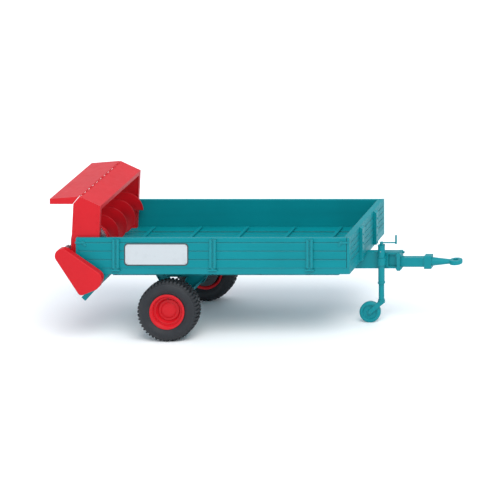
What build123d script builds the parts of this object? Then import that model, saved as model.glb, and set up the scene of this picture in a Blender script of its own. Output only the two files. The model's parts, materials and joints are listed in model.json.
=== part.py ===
"""Single-axle manure spreader: drop-side bed with a scraper floor, rear beater hood, drawbar and jack.

+X points forward to the tow eye, +Y to the machine's left, +Z up. The ground is Z = 0 and X = 0 is
half way between the visor's tail and the tow eye's tip. Sizes are in millimetres.
"""
import os
from math import atan2, ceil, cos, degrees, hypot, pi, radians, sin, sqrt

from build123d import *

os.makedirs("parts", exist_ok=True)

# ---- clearances ----
run_fit = 0.05          # radial, between a shaft and its bore
face_gap = 0.4          # between faces that slide past each other
swing_gap = 3           # between a swinging panel and what stands beside it

# ---- bed ----
bed_length = 3800       # headboard's front face to the sills' rear ends
bed_width = 1750        # over the closed drop sides
side_height = 416       # drop sides, headboard and posts, above the sills
board_thickness = 50
sill_bottom = 924
sill_height = 87
sill_width = 70
sill_wall = 6
sill_set_in = 5         # sill's outer face inside the drop side's outer face
floor_thickness = 29
headboard_depth = 85
post_depth = 40
rear_end_gap = 190      # open space between the floor's rear edge and the sills' rear ends
groove_width = 12
groove_depth = 7
top_plank = 62          # height of the rail along the top edge of the sides
side_planks = 3         # planks under the top rail
floor_planks = 10

# ---- drop-side hinges and latches ----
strap_inset = (550, 560)    # first strap behind the headboard's front face, last one before the rear end
strap_width = 90
strap_rib = 32
strap_depth = 22
strap_web = 8
side_pin_radius = 8
knuckle_radius = 13.5
hinge_drop = 27         # pin axis below the sill top
hinge_lug_width = 26
latch_length = 112
latch_height = 355      # pivot above the sill top
latch_thickness = 10

# ---- scraper floor ----
slat_first = -583       # front slat, from the headboard's front face
slat_pitch = 670
slat_count = 5
slat_width = 50
slat_height = 30
slat_wall = 5
slat_end_gap = 72       # slat end to the posts' inner faces
chain_track = 600       # each floor chain from the centre line
floor_chain_width = 24
floor_chain_thickness = 12
floor_chain_drop = 12   # chain centre line below the floor's top
floor_wheel_radius = 60
floor_slot = 40
idler_position = -170
floor_drive_inset = 300     # floor drive shaft before the rear end
floor_shaft_radius = 22
return_slat_first = -600

# ---- chassis ----
rail_track = 430
rail_width = 60
rail_height = 85
rail_wall = 7
rail_top = 860
rail_rear_inset = 370
bearer_count = 6
bearer_front = -290
bearer_rear_inset = 470
bearer_width = 60
bearer_height = 81
packer_length = 40      # blocks that carry the bearers on the rails
tie_front = -450        # ties between the rails
tie_rear_inset = 400
tie_count = 5
tie_width = 60

# ---- axle and wheels ----
axle_inset = 1283       # axle before the rear end
tyre_radius = 418
tyre_width = 265
tyre_outer_face = 958   # outer sidewall from the centre line
tread_width = 158
lug_count = 48
lug_depth = 18
rim_radius = 243
rim_width = 210
axle_square = 90
stub_radius = 30
hub_length = 150
stud_count = 6
stud_circle_radius = 102
stud_radius = 9
bracket_thickness = 60

# ---- drawbar ----
beam_width = 110
beam_bottom = 731
beam_top = 960
beam_front = 462
beam_rear = -1350
beam_wall = 8
flange_thickness = 22
flange_height = 244
flange_width = 190
flange_bolt_x = 150     # spacing across the drawbar
flange_bolt_z = 180
flange_bolt_radius = 10
front_beam_end = 816
front_beam_height = 130
front_beam_width = 100
collar_length = 100
collar_height = 185
collar_width = 130
tow_height = 815
eye_reach = 1250        # centre of the eye from the headboard's front face
eye_outer_radius = 93
eye_hole_radius = 39
eye_thickness = 60
shank_radius = 42

# ---- jack ----
jack_position = 233
jack_offset = -118
jack_tube_wall = 5.6
jack_sleeve_wall = 3.5  # upper sleeve over the outer tube
jack_top = 1086
jack_step = 833
jack_tube_bottom = 548
jack_wall = 5
inner_tube_radius = 38
inner_tube_bottom = 302
jack_travel = 220
spindle_radius = 12
crank_height = 1118
crank_reach = 205
crank_bar_radius = 9
crank_handle_radius = 13
jockey_radius = 147
jockey_width = 70
jockey_trail = 158
jockey_axle_radius = 10

# ---- hood ----
hood_thickness = 57
hood_sheet = 4
ridge_place = (33, 1987)          # X from the bed's rear end, Z
hood_front_top_place = (323, 1852)
hood_front_foot_place = 286
hood_rear_top_place = (-53, 1886)
hood_rear_foot_place = -95
visor_overhang = 380
visor_tail_top = 1954
visor_tail_bottom = 1882
roof_sheet = 5
roof_lip = 55
visor_pin_radius = 4
visor_barrel_radius = 8
visor_hinge_count = 10
sheet_edge = 9.5        # roof and visor sheets stop this far from the ridge
visor_barrel_gap = 0.5

# ---- beater and its gears ----
gear_module = 8
ring_teeth = 61
pinion_teeth = 15
gear_width = 40
beater_place = 133
beater_radius = 270
beater_tube_radius = 90
end_disc_radius = 262
beater_shaft_radius = 30
flight_pitch = 336
flight_thickness = 30
beater_end_gap = 75     # flight's end to the hood side

# ---- rear chain drive ----
chain_pitch = 31.75
chain_links = 52
roller_radius = 9.5
plate_height = 26
plate_thickness = 4
chain_inner_width = 20
tooth_height = 3        # sprocket teeth outside the pitch circle
large_teeth = 28
small_teeth = 14
jackshaft_place = (-149, 1219)
chain_lean = 45.43            # slope of the chain's centre line, in degrees
jackshaft_radius = 25
cross_shaft_radius = 20
case_gap = 30                 # drop side's outer face to the back plate
case_depth = 100
case_sheet = 3
case_back = 5

underrun_height = 625         # rear tube's centre above the ground

# ---- PTO line ----
pto_offset = 200
pto_height = 745
pto_front = 150
pto_shaft_radius = 28
pto_stub_radius = 17.5
pto_stub_length = 90

# ---- worked-out places ----
rear = -bed_length            # from the headboard's front face, as are the places below
strap_last = rear + strap_inset[1]
strap_positions = (-strap_inset[0], (strap_last - strap_inset[0]) / 2, strap_last)
floor_drive_position = rear + floor_drive_inset
rail_rear = rear + rail_rear_inset
bearer_step = (rear + bearer_rear_inset - bearer_front) / (bearer_count - 1)
bearer_positions = [bearer_front + number * bearer_step for number in range(bearer_count)]
rail_front = bearer_front + packer_length / 2 + 5
tie_step = (rear + tie_rear_inset - tie_front) / (tie_count - 1)
tie_positions = [tie_front + number * tie_step for number in range(tie_count)]
axle_position = rear + axle_inset
ridge = (rear + ridge_place[0], ridge_place[1])
hood_front_top = (rear + hood_front_top_place[0], hood_front_top_place[1])
hood_front_foot = rear + hood_front_foot_place
hood_rear_top = (rear + hood_rear_top_place[0], hood_rear_top_place[1])
hood_rear_foot = rear + hood_rear_foot_place
visor_tail = rear - visor_overhang
beater_position = rear + beater_place
head = -(visor_tail + eye_reach + eye_outer_radius) / 2   # headboard's front face
half = bed_width / 2
board_inner = half - board_thickness
post_inner = board_inner - swing_gap
slat_length = 2 * (post_inner - slat_end_gap)
beater_half_length = post_inner - hood_thickness - beater_end_gap
case_inner = half + case_gap
case_outer = case_inner + case_depth
sill_top = sill_bottom + sill_height
sill_outer = half - sill_set_in
sill_inner = sill_outer - sill_width
floor_top = sill_top + floor_thickness
side_bottom = sill_top + 2
side_top = sill_top + side_height
side_front = head - post_depth - swing_gap - 2
side_rear = head - bed_length + 32
floor_rear = head - bed_length + rear_end_gap
rail_bottom = rail_top - rail_height
tie_bottom = rail_bottom + 10
axle_x = head + axle_position
axle_z = tyre_radius
chain_line_top = floor_top - floor_chain_drop
floor_shaft_z = chain_line_top - floor_wheel_radius
chain_line_bottom = floor_shaft_z - floor_wheel_radius
hinge_y = half + knuckle_radius
hinge_z = sill_top - hinge_drop
jack_x = head + jack_position
jack_lower_radius = inner_tube_radius + face_gap + jack_tube_wall
jack_upper_radius = jack_lower_radius + jack_sleeve_wall
jackshaft_x = head + rear + jackshaft_place[0]
jackshaft_z = jackshaft_place[1]
large_radius = chain_pitch / 2 / sin(pi / large_teeth)
small_radius = chain_pitch / 2 / sin(pi / small_teeth)
straight_links = chain_links - (large_teeth + small_teeth) / 2
teeth_term = ((large_teeth - small_teeth) / 2 / pi) ** 2
chain_centres = chain_pitch * (straight_links + sqrt(straight_links ** 2 - 8 * teeth_term)) / 4
cross_x = jackshaft_x + chain_centres * cos(radians(chain_lean))
cross_z = jackshaft_z - chain_centres * sin(radians(chain_lean))
gear_centres = gear_module * (ring_teeth + pinion_teeth) / 2
beater_x = head + beater_position
beater_z = jackshaft_z + sqrt(gear_centres ** 2 - (beater_x - jackshaft_x) ** 2)
ridge_x = head + ridge[0]
sprocket_y = -(case_inner + case_outer) / 2


def save(piece, name):
    """Label a finished piece and write it."""
    piece.part.label = name
    export_step(piece.part, f"parts/{name}.step")


def save_both(right, name):
    """Write a right-hand piece and its mirror image."""
    save(right, f"{name}_right")
    with BuildPart() as left:
        mirror(right.part, about=Plane.XZ)
    save(left, f"{name}_left")


def across(x, z, y=0):
    """Sketch plane that looks along +Y from a centre: sketch X is forward, sketch Y is up."""
    return Plane(origin=(x, y, z), x_dir=(1, 0, 0), z_dir=(0, -1, 0))


def turned(x, z):
    """Sketch plane for profiles turned about a Y axis: sketch X runs along Y, sketch Y is radius."""
    return Plane(origin=(x, 0, z), x_dir=(0, 1, 0), z_dir=(1, 0, 0))


def y_axis(x, z):
    return Axis((x, 0, z), (0, 1, 0))


def box_between(x, y, z, mode=Mode.ADD):
    """Add (or cut) a block given as (low, high) pairs."""
    size = [abs(high - low) for low, high in (x, y, z)]
    centre = tuple((low + high) / 2 for low, high in (x, y, z))
    with Locations(centre):
        Box(*size, mode=mode)


def tube_along_y(x, z, y, width, height, wall):
    """Add a rectangular tube along Y between the two values in y."""
    with BuildSketch(across(x, z, max(y))) as section:
        Rectangle(width, height)
        Rectangle(width - 2 * wall, height - 2 * wall, mode=Mode.SUBTRACT)
    extrude(section.sketch, amount=max(y) - min(y))


def rod_along_y(x, z, y, radius, mode=Mode.ADD):
    """Add (or cut) a round bar along Y between the two values in y."""
    with BuildSketch(across(x, z, max(y))) as disc:
        Circle(radius)
    extrude(disc.sketch, amount=max(y) - min(y), mode=mode)


# ======== bed ========
with BuildPart() as bed_sills:
    inner_height = (sill_bottom + sill_wall, sill_top - sill_wall)
    for side in (-1, 1):
        ends = sorted((side * sill_inner, side * sill_outer))
        box_between((head - bed_length, head - headboard_depth), ends, (sill_bottom, sill_top))
    box_between((head - headboard_depth, head), (-sill_outer, sill_outer), (sill_bottom, sill_top))
    for side in (-1, 1):
        ends = sorted((side * (sill_inner - 1), side * (sill_outer - sill_wall)))
        box_between((head - bed_length - 1, head - headboard_depth - sill_wall), ends, inner_height,
                    mode=Mode.SUBTRACT)
    box_between((head - headboard_depth - 1, head - sill_wall), (-sill_inner, sill_inner), inner_height,
                mode=Mode.SUBTRACT)
save(bed_sills, "bed_sills")

rail_outer = rail_track + rail_width / 2
rail_inner = rail_track - rail_width / 2
with BuildPart() as cross_members:
    for place in bearer_positions:
        with BuildSketch(across(head + place, sill_top - bearer_height / 2, sill_inner)):
            Rectangle(bearer_width, bearer_height)
            with Locations((rail_wall, 0)):
                Rectangle(bearer_width, bearer_height - 2 * rail_wall, mode=Mode.SUBTRACT)
        extrude(amount=2 * sill_inner)
        for side in (-1, 1):
            box_between((head + place - packer_length / 2, head + place + packer_length / 2),
                        (side * rail_track - rail_width / 2, side * rail_track + rail_width / 2),
                        (rail_top, sill_top - bearer_height))
    for place in tie_positions:
        beam_side = beam_width / 2 if place > beam_rear else 0
        for side in (-1, 1):
            tube_along_y(head + place, (tie_bottom + rail_top) / 2, (side * beam_side, side * rail_inner),
                         tie_width, rail_top - tie_bottom, sill_wall)
save(cross_members, "cross_members")

with BuildPart() as floor_boards:
    box_between((floor_rear, head - headboard_depth - 1), (-post_inner, post_inner), (sill_top, floor_top))
    for side in (-1, 1):
        with Locations(((floor_rear + head) / 2, side * chain_track, floor_top)):
            Box(bed_length, floor_slot, 2 * floor_thickness, mode=Mode.SUBTRACT)
    plank = 2 * chain_track / floor_planks
    for number in range(1, floor_planks):
        with Locations(((floor_rear + head) / 2, -chain_track + number * plank, floor_top)):
            Box(bed_length, groove_width, 2 * groove_depth, mode=Mode.SUBTRACT)
save(floor_boards, "floor_boards")

with BuildPart() as headboard:
    box_between((head - headboard_depth, head), (-post_inner, post_inner), (sill_top, side_top))
    for number in range(1, 5):
        for face in (head - headboard_depth, head):
            with Locations((face, 0, sill_top + number * side_height / 5)):
                Box(2 * groove_depth, bed_width, groove_width, mode=Mode.SUBTRACT)
save(headboard, "headboard")

with BuildPart() as headboard_posts:
    for side in (-1, 1):
        with BuildSketch(across(head, 0, side * 350 + 45)):
            with BuildLine():
                Polyline((0, 950), (45, 950), (45, side_top - 30), (10, side_top - 4), (0, side_top - 4),
                         close=True)
            make_face()
        extrude(amount=90)
save(headboard_posts, "headboard_posts")

with BuildPart() as corner_posts:
    for side in (-1, 1):
        ends = sorted((side * post_inner, side * half))
        box_between((head - post_depth, head), ends, (sill_top, side_top))
        box_between((head - bed_length, side_rear - swing_gap), ends, (sill_top, side_top))
    fillet(corner_posts.edges().filter_by(Axis.Z), 5)
save(corner_posts, "corner_posts")

# ======== drop sides, right-hand ones first ========
with BuildPart() as drop_side:
    box_between((side_rear, side_front), (-half, -board_inner), (side_bottom, side_top))
    fillet(drop_side.edges().filter_by(Axis.X).group_by(Axis.Z)[-1], 8)
    plank = (side_height - top_plank) / side_planks
    for number in range(side_planks):
        with Locations(((side_rear + side_front) / 2, -half, side_top - top_plank - number * plank)):
            Box(bed_length, 2 * groove_depth, groove_width, mode=Mode.SUBTRACT)
save_both(drop_side, "drop_side")

with BuildPart() as side_straps:
    for place in strap_positions:
        x = head + place
        for edge in (-1, 1):
            rib = x + edge * (strap_width - strap_rib) / 2
            box_between((rib - strap_rib / 2, rib + strap_rib / 2), (-half - strap_depth, -half),
                        (side_bottom, side_top - 15))
        box_between((x - strap_width / 2, x + strap_width / 2), (-half - strap_web, -half),
                    (side_bottom, side_top - 15))
        middle = (x - strap_rib, x + strap_rib)
        box_between(middle, (-half - strap_web - 5, -half), (hinge_z, side_bottom + 1))
        with BuildSketch(Plane(origin=(middle[0], -hinge_y, hinge_z), x_dir=(0, 1, 0), z_dir=(1, 0, 0))):
            Circle(knuckle_radius)
        extrude(amount=2 * strap_rib)
        with BuildSketch(Plane(origin=(middle[0], -hinge_y, hinge_z), x_dir=(0, 1, 0), z_dir=(1, 0, 0))):
            Circle(side_pin_radius + run_fit)
        extrude(amount=2 * strap_rib, mode=Mode.SUBTRACT)
save_both(side_straps, "side_straps")

with BuildPart() as side_hinges:
    for side in (-1, 1):
        for place in strap_positions:
            for end in (-1, 1):
                start = head + place + end * (strap_rib + face_gap)
                stop = start + end * hinge_lug_width
                low = min(start, stop)
                with BuildSketch(Plane(origin=(low, side * hinge_y, hinge_z), x_dir=(0, 1, 0),
                                       z_dir=(1, 0, 0))):
                    Circle(knuckle_radius)
                    with Locations((side * (sill_outer - hinge_y) / 2, -knuckle_radius / 2)):
                        Rectangle(hinge_y - sill_outer, knuckle_radius)
                    Circle(side_pin_radius, mode=Mode.SUBTRACT)
                extrude(amount=hinge_lug_width)
            pin_half = strap_rib + face_gap + hinge_lug_width + 4
            with BuildSketch(Plane(origin=(head + place - pin_half, side * hinge_y, hinge_z),
                                   x_dir=(0, 1, 0), z_dir=(1, 0, 0))):
                Circle(side_pin_radius)
            extrude(amount=2 * pin_half)
save(side_hinges, "side_hinges")


def latch(pivot_x, toward):
    """Latch lever on the right-hand side: a bar that reaches over the post, with a grip below its boss."""
    with BuildPart() as lever:
        with BuildSketch(across(pivot_x, sill_top + latch_height, -half - face_gap)):
            Circle(22)
            with Locations((toward * latch_length / 2, 0)):
                Rectangle(latch_length, 26)
            with BuildLine():
                Polyline((-toward * 18, 12), (-toward * 44, -44), (-toward * 26, -52), (toward * 18, -10),
                         close=True)
            make_face()
        extrude(amount=latch_thickness)
        with BuildSketch(across(pivot_x, sill_top + latch_height, -half - face_gap - latch_thickness)):
            Circle(14)
        extrude(amount=9)
        fillet(lever.edges().filter_by(GeomType.CIRCLE).group_by(Axis.Y)[0], 3)
    return lever


latch_x = {"front": side_front - latch_length + 40, "rear": side_rear + latch_length - 40}
for end, toward in (("front", 1), ("rear", -1)):
    save_both(latch(latch_x[end], toward), f"latch_{end}")

# ======== scraper floor ========
with BuildPart() as floor_slats:
    for number in range(slat_count):
        x = head + slat_first - number * slat_pitch
        low = floor_top + face_gap
        box_between((x - slat_width / 2, x + slat_width / 2), (-slat_length / 2, slat_length / 2),
                    (low, low + slat_height))
    chamfer(floor_slats.edges().filter_by(Axis.Y).group_by(Axis.Z)[-1], 6)
    for number in range(slat_count):
        x = head + slat_first - number * slat_pitch
        box_between((x - slat_width / 2 + slat_wall, x + slat_width / 2 - slat_wall),
                    (-slat_length, slat_length), (low - 1, low + slat_height - slat_wall), mode=Mode.SUBTRACT)
        for side in (-1, 1):
            box_between((x - 15, x + 15), (side * chain_track - 12, side * chain_track + 12),
                        (chain_line_top + floor_chain_thickness / 2 + face_gap, low + slat_height - 1))
save(floor_slats, "floor_slats")

with BuildPart() as return_slats:
    for number in range(slat_count):
        x = head + return_slat_first - number * slat_pitch
        high = chain_line_bottom - floor_chain_thickness / 2 - face_gap
        box_between((x - slat_width / 2, x + slat_width / 2), (-slat_length / 2, slat_length / 2),
                    (high - slat_height, high))
    chamfer(return_slats.edges().filter_by(Axis.Y).group_by(Axis.Z)[0], 6)
    for number in range(slat_count):
        x = head + return_slat_first - number * slat_pitch
        box_between((x - slat_width / 2 + slat_wall, x + slat_width / 2 - slat_wall),
                    (-slat_length, slat_length), (high - slat_height + slat_wall, high + 1), mode=Mode.SUBTRACT)
        for side in (-1, 1):
            box_between((x - 15, x + 15), (side * chain_track - 12, side * chain_track + 12),
                        (high - slat_height + 1, high))
save(return_slats, "return_slats")

wheel_spread = idler_position - floor_drive_position
with BuildPart() as floor_chains:
    for side in (-1, 1):
        centre = head + (idler_position + floor_drive_position) / 2
        with BuildSketch(across(centre, floor_shaft_z, side * chain_track + floor_chain_width / 2)):
            SlotCenterToCenter(wheel_spread, 2 * floor_wheel_radius + floor_chain_thickness)
            SlotCenterToCenter(wheel_spread, 2 * floor_wheel_radius - floor_chain_thickness,
                               mode=Mode.SUBTRACT)
        extrude(amount=floor_chain_width)
save(floor_chains, "floor_chains")


def chain_shaft(x, reach_right, reach_left, name):
    """Cross shaft under the floor with one toothed wheel for each floor chain."""
    drum = floor_wheel_radius - floor_chain_thickness / 2 - face_gap
    with BuildPart() as shaft:
        rod_along_y(x, floor_shaft_z, (-reach_right, reach_left), floor_shaft_radius)
        for side in (-1, 1):
            middle = side * chain_track
            rod_along_y(x, floor_shaft_z, (middle - 17, middle + 17), drum)
            for inner in (-17, 12.5):
                with BuildSketch(across(x, floor_shaft_z, middle + inner + 4.5)):
                    Circle(floor_wheel_radius + 6)
                    with PolarLocations(floor_wheel_radius + 9, 8):
                        Circle(11, mode=Mode.SUBTRACT)
                extrude(amount=4.5)
    save(shaft, name)


chain_shaft(head + floor_drive_position, sill_inner - 6, chain_track + 130, "floor_drive_shaft")
chain_shaft(head + idler_position, sill_inner - 6, sill_inner - 6, "front_idler_shaft")

# ======== chassis ========
with BuildPart() as chassis_rails:
    for side in (-1, 1):
        middle = (rail_bottom + rail_top) / 2
        with BuildSketch(Plane(origin=(head + rail_rear, side * rail_track, middle), x_dir=(0, 1, 0),
                               z_dir=(1, 0, 0))):
            Rectangle(rail_width, rail_height)
            with Locations((-side * rail_wall, 0)):
                Rectangle(rail_width, rail_height - 2 * rail_wall, mode=Mode.SUBTRACT)
        extrude(amount=rail_front - rail_rear)
save(chassis_rails, "chassis_rails")

# ======== axle and wheels ========
with BuildPart() as axle_beam:
    beam_half = tyre_outer_face - tyre_width - 25
    box_between((axle_x - axle_square / 2, axle_x + axle_square / 2), (-beam_half, beam_half),
                (axle_z - axle_square / 2, axle_z + axle_square / 2))
    fillet(axle_beam.edges().filter_by(Axis.Y), 8)
    rod_along_y(axle_x, axle_z, (-beam_half - hub_length - 20, beam_half + hub_length + 20), stub_radius)
save(axle_beam, "axle_beam")

bracket_outline = ((axle_position - 313, rail_bottom), (axle_position + 428, rail_bottom),
                   (axle_position + 191, axle_z + 167),
                   (axle_position + axle_square / 2 + 30, axle_z - axle_square / 2 + 4),
                   (axle_position - axle_square / 2 - 30, axle_z - axle_square / 2 + 4))
bracket_window = ((axle_position - 143, rail_bottom - 25), (axle_position + 117, rail_bottom - 25),
                  (axle_position + 27, axle_z + 142), (axle_position - 43, axle_z + 142))
with BuildPart() as axle_brackets:
    for side in (-1, 1):
        outer_face = side * rail_track + bracket_thickness / 2
        with BuildSketch(across(head, 0, outer_face)):
            with BuildLine():
                Polyline(*bracket_outline, close=True)
            make_face()
            with BuildLine():
                Polyline(*bracket_window, close=True)
            make_face(mode=Mode.SUBTRACT)
            with Locations((axle_position, axle_z)):
                Rectangle(axle_square, axle_square, mode=Mode.SUBTRACT)
        extrude(amount=bracket_thickness)
        recess = (bracket_thickness - rail_wall) / 2
        for start in (outer_face, outer_face - bracket_thickness + recess):
            with BuildSketch(across(head, 0, start)):
                with BuildLine():
                    Polyline(*bracket_outline, close=True)
                make_face()
                offset(amount=-rail_wall, kind=Kind.INTERSECTION, mode=Mode.REPLACE)
                with BuildLine():
                    Polyline(*bracket_window, close=True)
                pocket = make_face(mode=Mode.PRIVATE)
                offset(pocket, amount=rail_wall, kind=Kind.INTERSECTION, mode=Mode.SUBTRACT)
                with Locations((axle_position, axle_z)):
                    Rectangle(axle_square + 2 * rail_wall, axle_square + 2 * rail_wall, mode=Mode.SUBTRACT)
            extrude(amount=recess, mode=Mode.SUBTRACT)
save(axle_brackets, "axle_brackets")

wheel_y = tyre_outer_face - tyre_width / 2    # middle of the tyre from the centre line
hub_start = beam_half + 6
hub_end = hub_start + hub_length
disc_y = hub_end - 30                         # wheel disc bolts here
disc_sheet = 10
race_depth = 26

with BuildPart() as wheel_bearings:
    for side in (-1, 1):
        for start in (hub_start, hub_end - race_depth):
            with BuildSketch(across(axle_x, axle_z, max(side * start, side * (start + race_depth)))):
                Circle(stub_radius + 20)
                Circle(stub_radius + 0.02, mode=Mode.SUBTRACT)
            extrude(amount=race_depth)
save(wheel_bearings, "wheel_bearings")

with BuildPart() as hub:
    with BuildSketch(turned(axle_x, axle_z)):
        with BuildLine():
            bearing = stub_radius + 20 + run_fit
            Polyline((-hub_start, bearing), (-hub_start, 72), (-disc_y + 14, 66), (-disc_y + 14, 128),
                     (-disc_y, 128), (-disc_y, 62), (-hub_end, 60), (-hub_end, bearing), close=True)
        make_face()
    revolve(axis=y_axis(axle_x, axle_z))
    with BuildSketch(across(axle_x, axle_z, -disc_y)):
        with PolarLocations(stud_circle_radius, stud_count):
            Circle(stud_radius)
    extrude(amount=disc_sheet + 26)
    with BuildSketch(across(axle_x, axle_z, -disc_y - disc_sheet)):
        with PolarLocations(stud_circle_radius, stud_count):
            RegularPolygon(16, 6)
    extrude(amount=16)
save_both(hub, "hub")

rim_half = rim_width / 2
rim_outer_y = wheel_y + rim_half


def wheel_points(*points):
    """Profile points given as depth behind the rim's outer edge and radius."""
    return [(-rim_outer_y + depth, radius) for depth, radius in points]


disc = rim_outer_y - disc_y - disc_sheet       # outer face of the wheel disc behind the rim's edge
rim_back = 2 * rim_half
with BuildPart() as rim:
    with BuildSketch(turned(axle_x, axle_z)):
        with BuildLine():
            Polyline(*wheel_points((disc + disc_sheet, 64), (disc + disc_sheet, 140), (66, 176), (66, 198),
                                   (rim_back - 26, 198), (rim_back, 216), (rim_back, rim_radius),
                                   (rim_back - 10, rim_radius), (rim_back - 12, 220), (rim_back - 30, 206),
                                   (30, 206), (12, 220), (10, rim_radius), (0, rim_radius), (0, 216),
                                   (24, 198), (52, 196), (52, 172), (disc, 134), (disc, 64)), close=True)
        make_face()
    revolve(axis=y_axis(axle_x, axle_z))
    with BuildSketch(across(axle_x, axle_z, -disc_y)):
        with PolarLocations(stud_circle_radius, stud_count):
            Circle(stud_radius + 0.5)
    extrude(amount=disc_sheet, mode=Mode.SUBTRACT)
save_both(rim, "rim")

side_out = rim_outer_y - tyre_outer_face       # sidewall's widest point, before the rim's outer edge
side_in = side_out + tyre_width
shoulder = (tyre_width - tread_width) / 2
crown = tyre_radius - lug_depth
with BuildPart() as tyre:
    with BuildSketch(turned(axle_x, axle_z)):
        with BuildLine():
            Spline(*wheel_points((10.3, rim_radius + 2), (side_out, 318), (side_out + 22, 378)),
                   tangents=((-0.6, 1), (0.7, 1)))
            Polyline(*wheel_points((side_out + 22, 378), (side_out + shoulder, crown),
                                   (side_in - shoulder, crown), (side_in - 22, 378)))
            Spline(*wheel_points((side_in - 22, 378), (side_in, 318), (rim_back - 10.3, rim_radius + 2)),
                   tangents=((0.7, -1), (-0.6, -1)))
            Polyline(*wheel_points((rim_back - 10.3, rim_radius + 2), (rim_back - 12.3, 220.3),
                                   (rim_back - 30.3, 206.3), (rim_back - 48, 206.3), (rim_back - 30, 244)))
            Spline(*wheel_points((rim_back - 30, 244), (side_in - 22, 318), (side_in - 44, 366)),
                   tangents=((0.6, 1), (-0.7, 1)))
            Polyline(*wheel_points((side_in - 44, 366), (side_in - shoulder, crown - 22),
                                   (side_out + shoulder, crown - 22), (side_out + 44, 366)))
            Spline(*wheel_points((side_out + 44, 366), (side_out + 22, 318), (30, 244)),
                   tangents=((-0.7, -1), (0.6, -1)))
            Polyline(*wheel_points((30, 244), (48, 206.3), (30.3, 206.3), (12.3, 220.3),
                                   (10.3, rim_radius + 2)))
        make_face()
    revolve(axis=y_axis(axle_x, axle_z))
    lug_width = pi * 2 * tyre_radius / lug_count * 0.5
    for row, start in ((0, -wheel_y - tread_width / 2 - 18), (0.5, -wheel_y + 4)):
        with BuildSketch(Plane(origin=(axle_x, start, axle_z), x_dir=(1, 0, 0), z_dir=(0, 1, 0))):
            with PolarLocations(tyre_radius - lug_depth / 2 - 8, lug_count, row * 360 / lug_count):
                Rectangle(lug_depth + 20, lug_width)
        extrude(amount=tread_width / 2 + 14)
    with BuildSketch(turned(axle_x, axle_z)):
        with BuildLine():
            Polyline(*wheel_points((side_out - 5, 372), (side_out + 20, 372), (side_out + 24, 386),
                                   (side_out + shoulder, tyre_radius), (side_in - shoulder, tyre_radius),
                                   (side_in - 24, 386), (side_in - 20, 372), (side_in + 5, 372),
                                   (side_in + 5, 450), (side_out - 5, 450)), close=True)
        make_face()
    revolve(axis=y_axis(axle_x, axle_z), mode=Mode.SUBTRACT)
save_both(tyre, "tyre")

plateau = disc - 40
with BuildPart() as wheel_cap:
    with BuildSketch(turned(axle_x, axle_z)):
        with BuildLine():
            Polyline(*wheel_points((plateau + 9.5, 149), (plateau + 2, 143), (plateau, 138), (plateau, 112),
                                   (plateau - 6, 104)))
            Spline(*wheel_points((plateau - 6, 104), (plateau - 20, 60), (plateau - 24, 0)),
                   tangents=((-0.8, -1), (0, -1)))
            Polyline(*wheel_points((plateau - 24, 0), (plateau - 20, 0)))
            Spline(*wheel_points((plateau - 20, 0), (plateau - 16, 58), (plateau - 2, 101)),
                   tangents=((0, 1), (0.8, 1)))
            Polyline(*wheel_points((plateau - 2, 101), (plateau + 4, 110), (plateau + 4, 136),
                                   (plateau + 14, 145), (plateau + 9.5, 149)))
        make_face()
    revolve(axis=y_axis(axle_x, axle_z))
save_both(wheel_cap, "wheel_cap")

# ======== drawbar ========
flange_z = (beam_bottom + beam_top) / 2 - 15
bolt_grid = GridLocations(flange_bolt_x, flange_bolt_z, 2, 2)
with BuildPart() as drawbar_beam:
    with BuildSketch(across(head, 0, beam_width / 2)):
        with BuildLine():
            Polyline((beam_front, beam_bottom), (beam_front, beam_top), (1, beam_top), (1, sill_bottom - 1),
                     (-80, sill_bottom - 1), (-220, rail_top - 2), (beam_rear, rail_top - 2),
                     (beam_rear, rail_bottom), (beam_rear + 350, beam_bottom), close=True)
        make_face()
    extrude(amount=beam_width)
    fillet(drawbar_beam.edges().filter_by(Axis.X).group_by(Axis.Z)[0], 8)
    wall = beam_wall
    with BuildSketch(across(head, 0, beam_width / 2 - wall)):
        with BuildLine():
            Polyline((-10, beam_bottom + wall), (-10, sill_bottom - 1 - wall),
                     (-80 - wall / 2, sill_bottom - 1 - wall), (-220, rail_top - 2 - wall), (beam_rear - 1, rail_top - 2 - wall),
                     (beam_rear - 1, rail_bottom + wall), (beam_rear + 350, beam_bottom + wall), close=True)
        make_face()
    extrude(amount=beam_width - 2 * wall, mode=Mode.SUBTRACT)
    for side in (-1, 1):
        with Locations((head + beam_front - 130, side * beam_width / 2, (beam_bottom + beam_top) / 2)):
            Box(200, 60, beam_top - beam_bottom - 60, mode=Mode.SUBTRACT)
    with BuildSketch(Plane(origin=(head + beam_front - flange_thickness, 0, flange_z), x_dir=(0, 1, 0),
                           z_dir=(1, 0, 0))):
        RectangleRounded(flange_width, flange_height, 12)
        with bolt_grid:
            Circle(flange_bolt_radius + 0.5, mode=Mode.SUBTRACT)
    extrude(amount=flange_thickness)
save(drawbar_beam, "drawbar_beam")

with BuildPart() as drawbar_front:
    with BuildSketch(Plane(origin=(head + beam_front, 0, flange_z), x_dir=(0, 1, 0), z_dir=(1, 0, 0))):
        RectangleRounded(flange_width, flange_height, 12)
        with bolt_grid:
            Circle(flange_bolt_radius + 0.5, mode=Mode.SUBTRACT)
    extrude(amount=flange_thickness)
    with BuildSketch(Plane(origin=(head + beam_front + flange_thickness, 0, tow_height), x_dir=(0, 1, 0),
                           z_dir=(1, 0, 0))):
        RectangleRounded(front_beam_width, front_beam_height, 10)
    extrude(amount=front_beam_end - beam_front - flange_thickness)
save(drawbar_front, "drawbar_front")

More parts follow.
